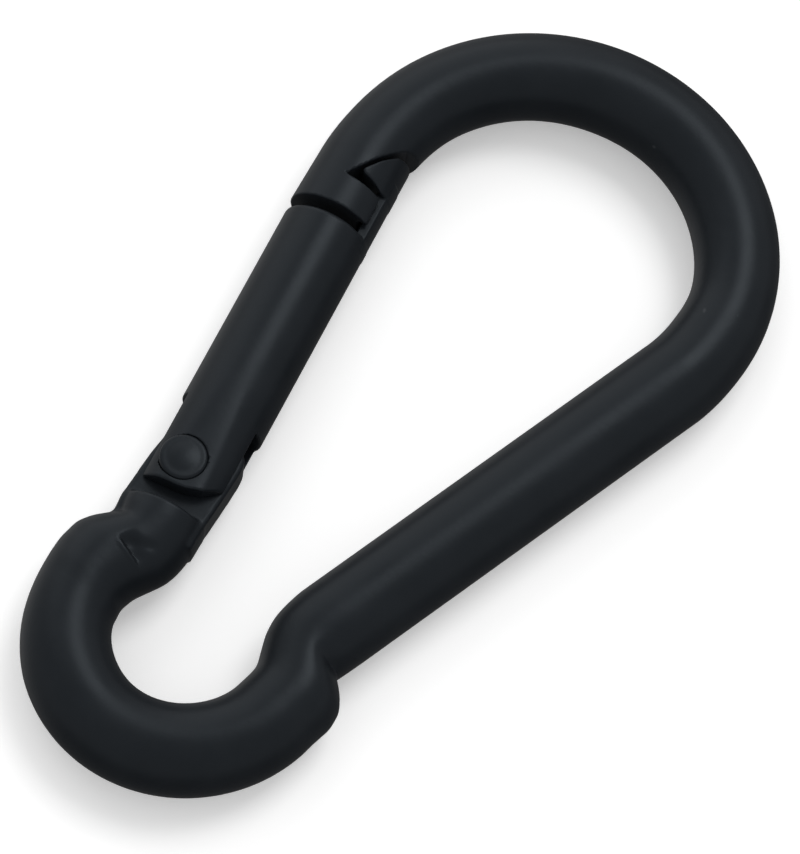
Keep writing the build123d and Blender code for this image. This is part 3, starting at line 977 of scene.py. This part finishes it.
for obj, body, node, slot in (
    (hook, "hook", "hook_body", "black_coating"),
    (gate, "gate", "gate", "black_coating"),
    (rivet, "gate", "hinge_rivet", "black_coating"),
    (plunger, "plunger", "plunger", "plain_steel"),
    (spring, "gate", "gate_spring", "spring_steel"),
):
    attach(obj, body)
    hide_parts(node)
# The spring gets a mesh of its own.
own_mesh(spring)

# ---- floor, light, camera ------------------------------------------------------------------
FLOOR_HALF = 3
CAM_AIM = (0.979, 19.47, 0.0)  # drawing frame
CAM_RIGHT = (0.7701, 0.6340, 0.0706)
CAM_UP = (-0.6040, 0.6889, 0.4005)
CAM_DISTANCE = 0.3291
CAM_LENS = 223.4
CAM_SENSOR = 36
CAM_CLIP = 0.01
WORLD_STRENGTH = 0.62
DARK_SKY = (0.20, 0.20, 0.20)
WHITE = (1, 1, 1)


def add_floor():
    """A wide sheet of pale paper that glows slightly and isn't mirrored in the coating."""
    h = FLOOR_HALF
    mesh = bpy.data.meshes.new("floor")
    mesh.from_pydata([(-h, -h, 0), (h, -h, 0), (h, h, 0), (-h, h, 0)], [], [(0, 1, 2, 3)])
    mat, tree, bsdf, coords = node_material("floor_paper")
    tones = [(0.3, (0.90, 0.90, 0.90)), (0.7, (0.92, 0.92, 0.92))]
    tree.links.new(ramp(tree, noise(tree, coords, 3, 2), tones), bsdf.inputs["Base Color"])
    bsdf.inputs["Roughness"].default_value = 0.9
    bsdf.inputs["Specular IOR Level"].default_value = 0.1
    bsdf.inputs["Emission Color"].default_value = (1, 1, 1, 1)
    bsdf.inputs["Emission Strength"].default_value = 0.30
    mesh.materials.append(mat)
    obj = link("floor", mesh)
    obj.visible_glossy = False  # the coating mirrors the dark underside of the sky instead
    return obj


def add_camera(target):
    """A long lens, far enough away to see the hook almost without perspective."""
    right, up = Vector(CAM_RIGHT).normalized(), Vector(CAM_UP).normalized()
    back = right.cross(up).normalized()
    up = back.cross(right).normalized()
    data = bpy.data.cameras.new("camera")
    data.lens = CAM_LENS
    data.sensor_width = CAM_SENSOR
    data.clip_start = CAM_CLIP
    rotation = Matrix((right, up, back)).transposed().to_4x4()
    camera = link("camera", data)
    camera.matrix_world = Matrix.Translation(target + back * CAM_DISTANCE) @ rotation
    bpy.context.scene.camera = camera


def area_light(name, target, direction, distance, size, power):
    """A rectangular light that shines at the target from a direction."""
    data = bpy.data.lights.new(name, "AREA")
    data.shape = "RECTANGLE"
    data.size, data.size_y = size
    data.energy = power
    direction = Vector(direction).normalized()
    rotation = direction.to_track_quat("Z", "Y").to_matrix().to_4x4()
    link(name, data).matrix_world = Matrix.Translation(target + direction * distance) @ rotation


def add_world():
    """A pale sky: bright above the horizon and on the left below it, dark below elsewhere."""
    world = bpy.data.worlds.new("studio")
    world.use_nodes = True
    tree = world.node_tree
    background = tree.nodes["Background"]
    split = tree.nodes.new("ShaderNodeSeparateXYZ")
    coords = tree.nodes.new("ShaderNodeTexCoord")
    tree.links.new(coords.outputs["Generated"], split.inputs[0])
    lighter = tree.nodes.new("ShaderNodeMath")
    lighter.operation = "MAXIMUM"
    tree.links.new(remap(tree, split.outputs[2], 0, 1, -0.10, 0.10), lighter.inputs[0])
    tree.links.new(remap(tree, split.outputs[0], 1, 0, -0.90, -0.35), lighter.inputs[1])
    sky = ramp(tree, lighter.outputs[0], [(0.0, DARK_SKY), (1.0, WHITE)])
    tree.links.new(sky, background.inputs[0])
    background.inputs[1].default_value = WORLD_STRENGTH
    bpy.context.scene.world = world


floor = add_floor()
target = Vector(to_row(np.array(CAM_AIM)))
add_camera(target)
area_light("key", target, (0.03, 0.525, 0.85), 0.9, (0.42, 0.42), 2.5)
area_light("fill", target, (-0.74, 0.46, 0.48), 1.3, (1.2, 1.2), 4.2)
add_world()
bpy.context.scene.view_settings.view_transform = "Standard"
